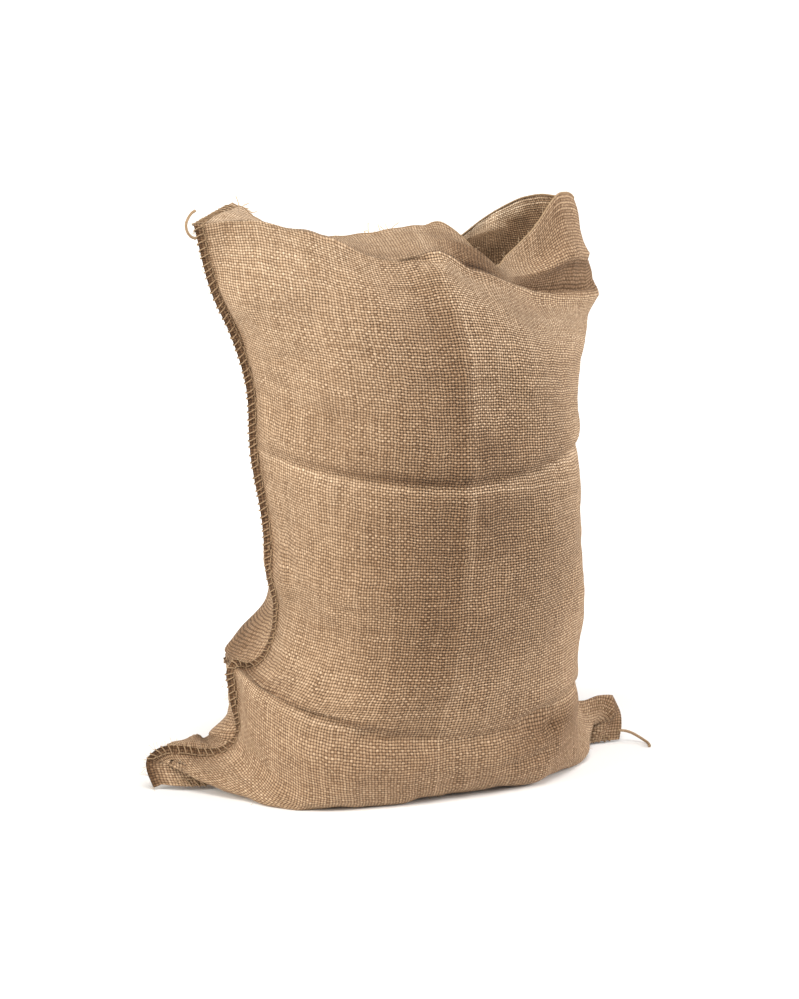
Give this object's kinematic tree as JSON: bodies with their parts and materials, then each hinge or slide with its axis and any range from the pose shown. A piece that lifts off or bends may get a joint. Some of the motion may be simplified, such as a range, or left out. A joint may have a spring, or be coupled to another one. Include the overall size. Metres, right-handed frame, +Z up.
{
  "type": "sack race bag",
  "caption": "Open jute sack for a sack race: one sheet of coarse cloth folded at one side and stitched along the other side and the bottom, standing open on its base with two corner ears.",
  "frame": {"origin": "centre of the bag's footprint at the ground", "axes": "+Z up out of the mouth, +X towards the folded side, -X towards the stitched side, -Y towards the front"},
  "size_m": [0.5193, 0.2966, 0.5732],
  "materials": {
    "jute_cloth": "open plain weave, matt, undyed",
    "jute_thread": "twisted jute thread, matt, undyed"
  },
  "bodies": {
    "root": {"sack_cloth": "jute_cloth", "side_seam_looper_thread": "jute_thread", "side_seam_needle_thread": "jute_thread", "bottom_seam_looper_thread": "jute_thread", "bottom_seam_needle_thread": "jute_thread", "side_seam_tail": "jute_thread", "bottom_seam_tail": "jute_thread", "mouth_corner_yarns": "jute_cloth"}
  },
  "joints": []
}
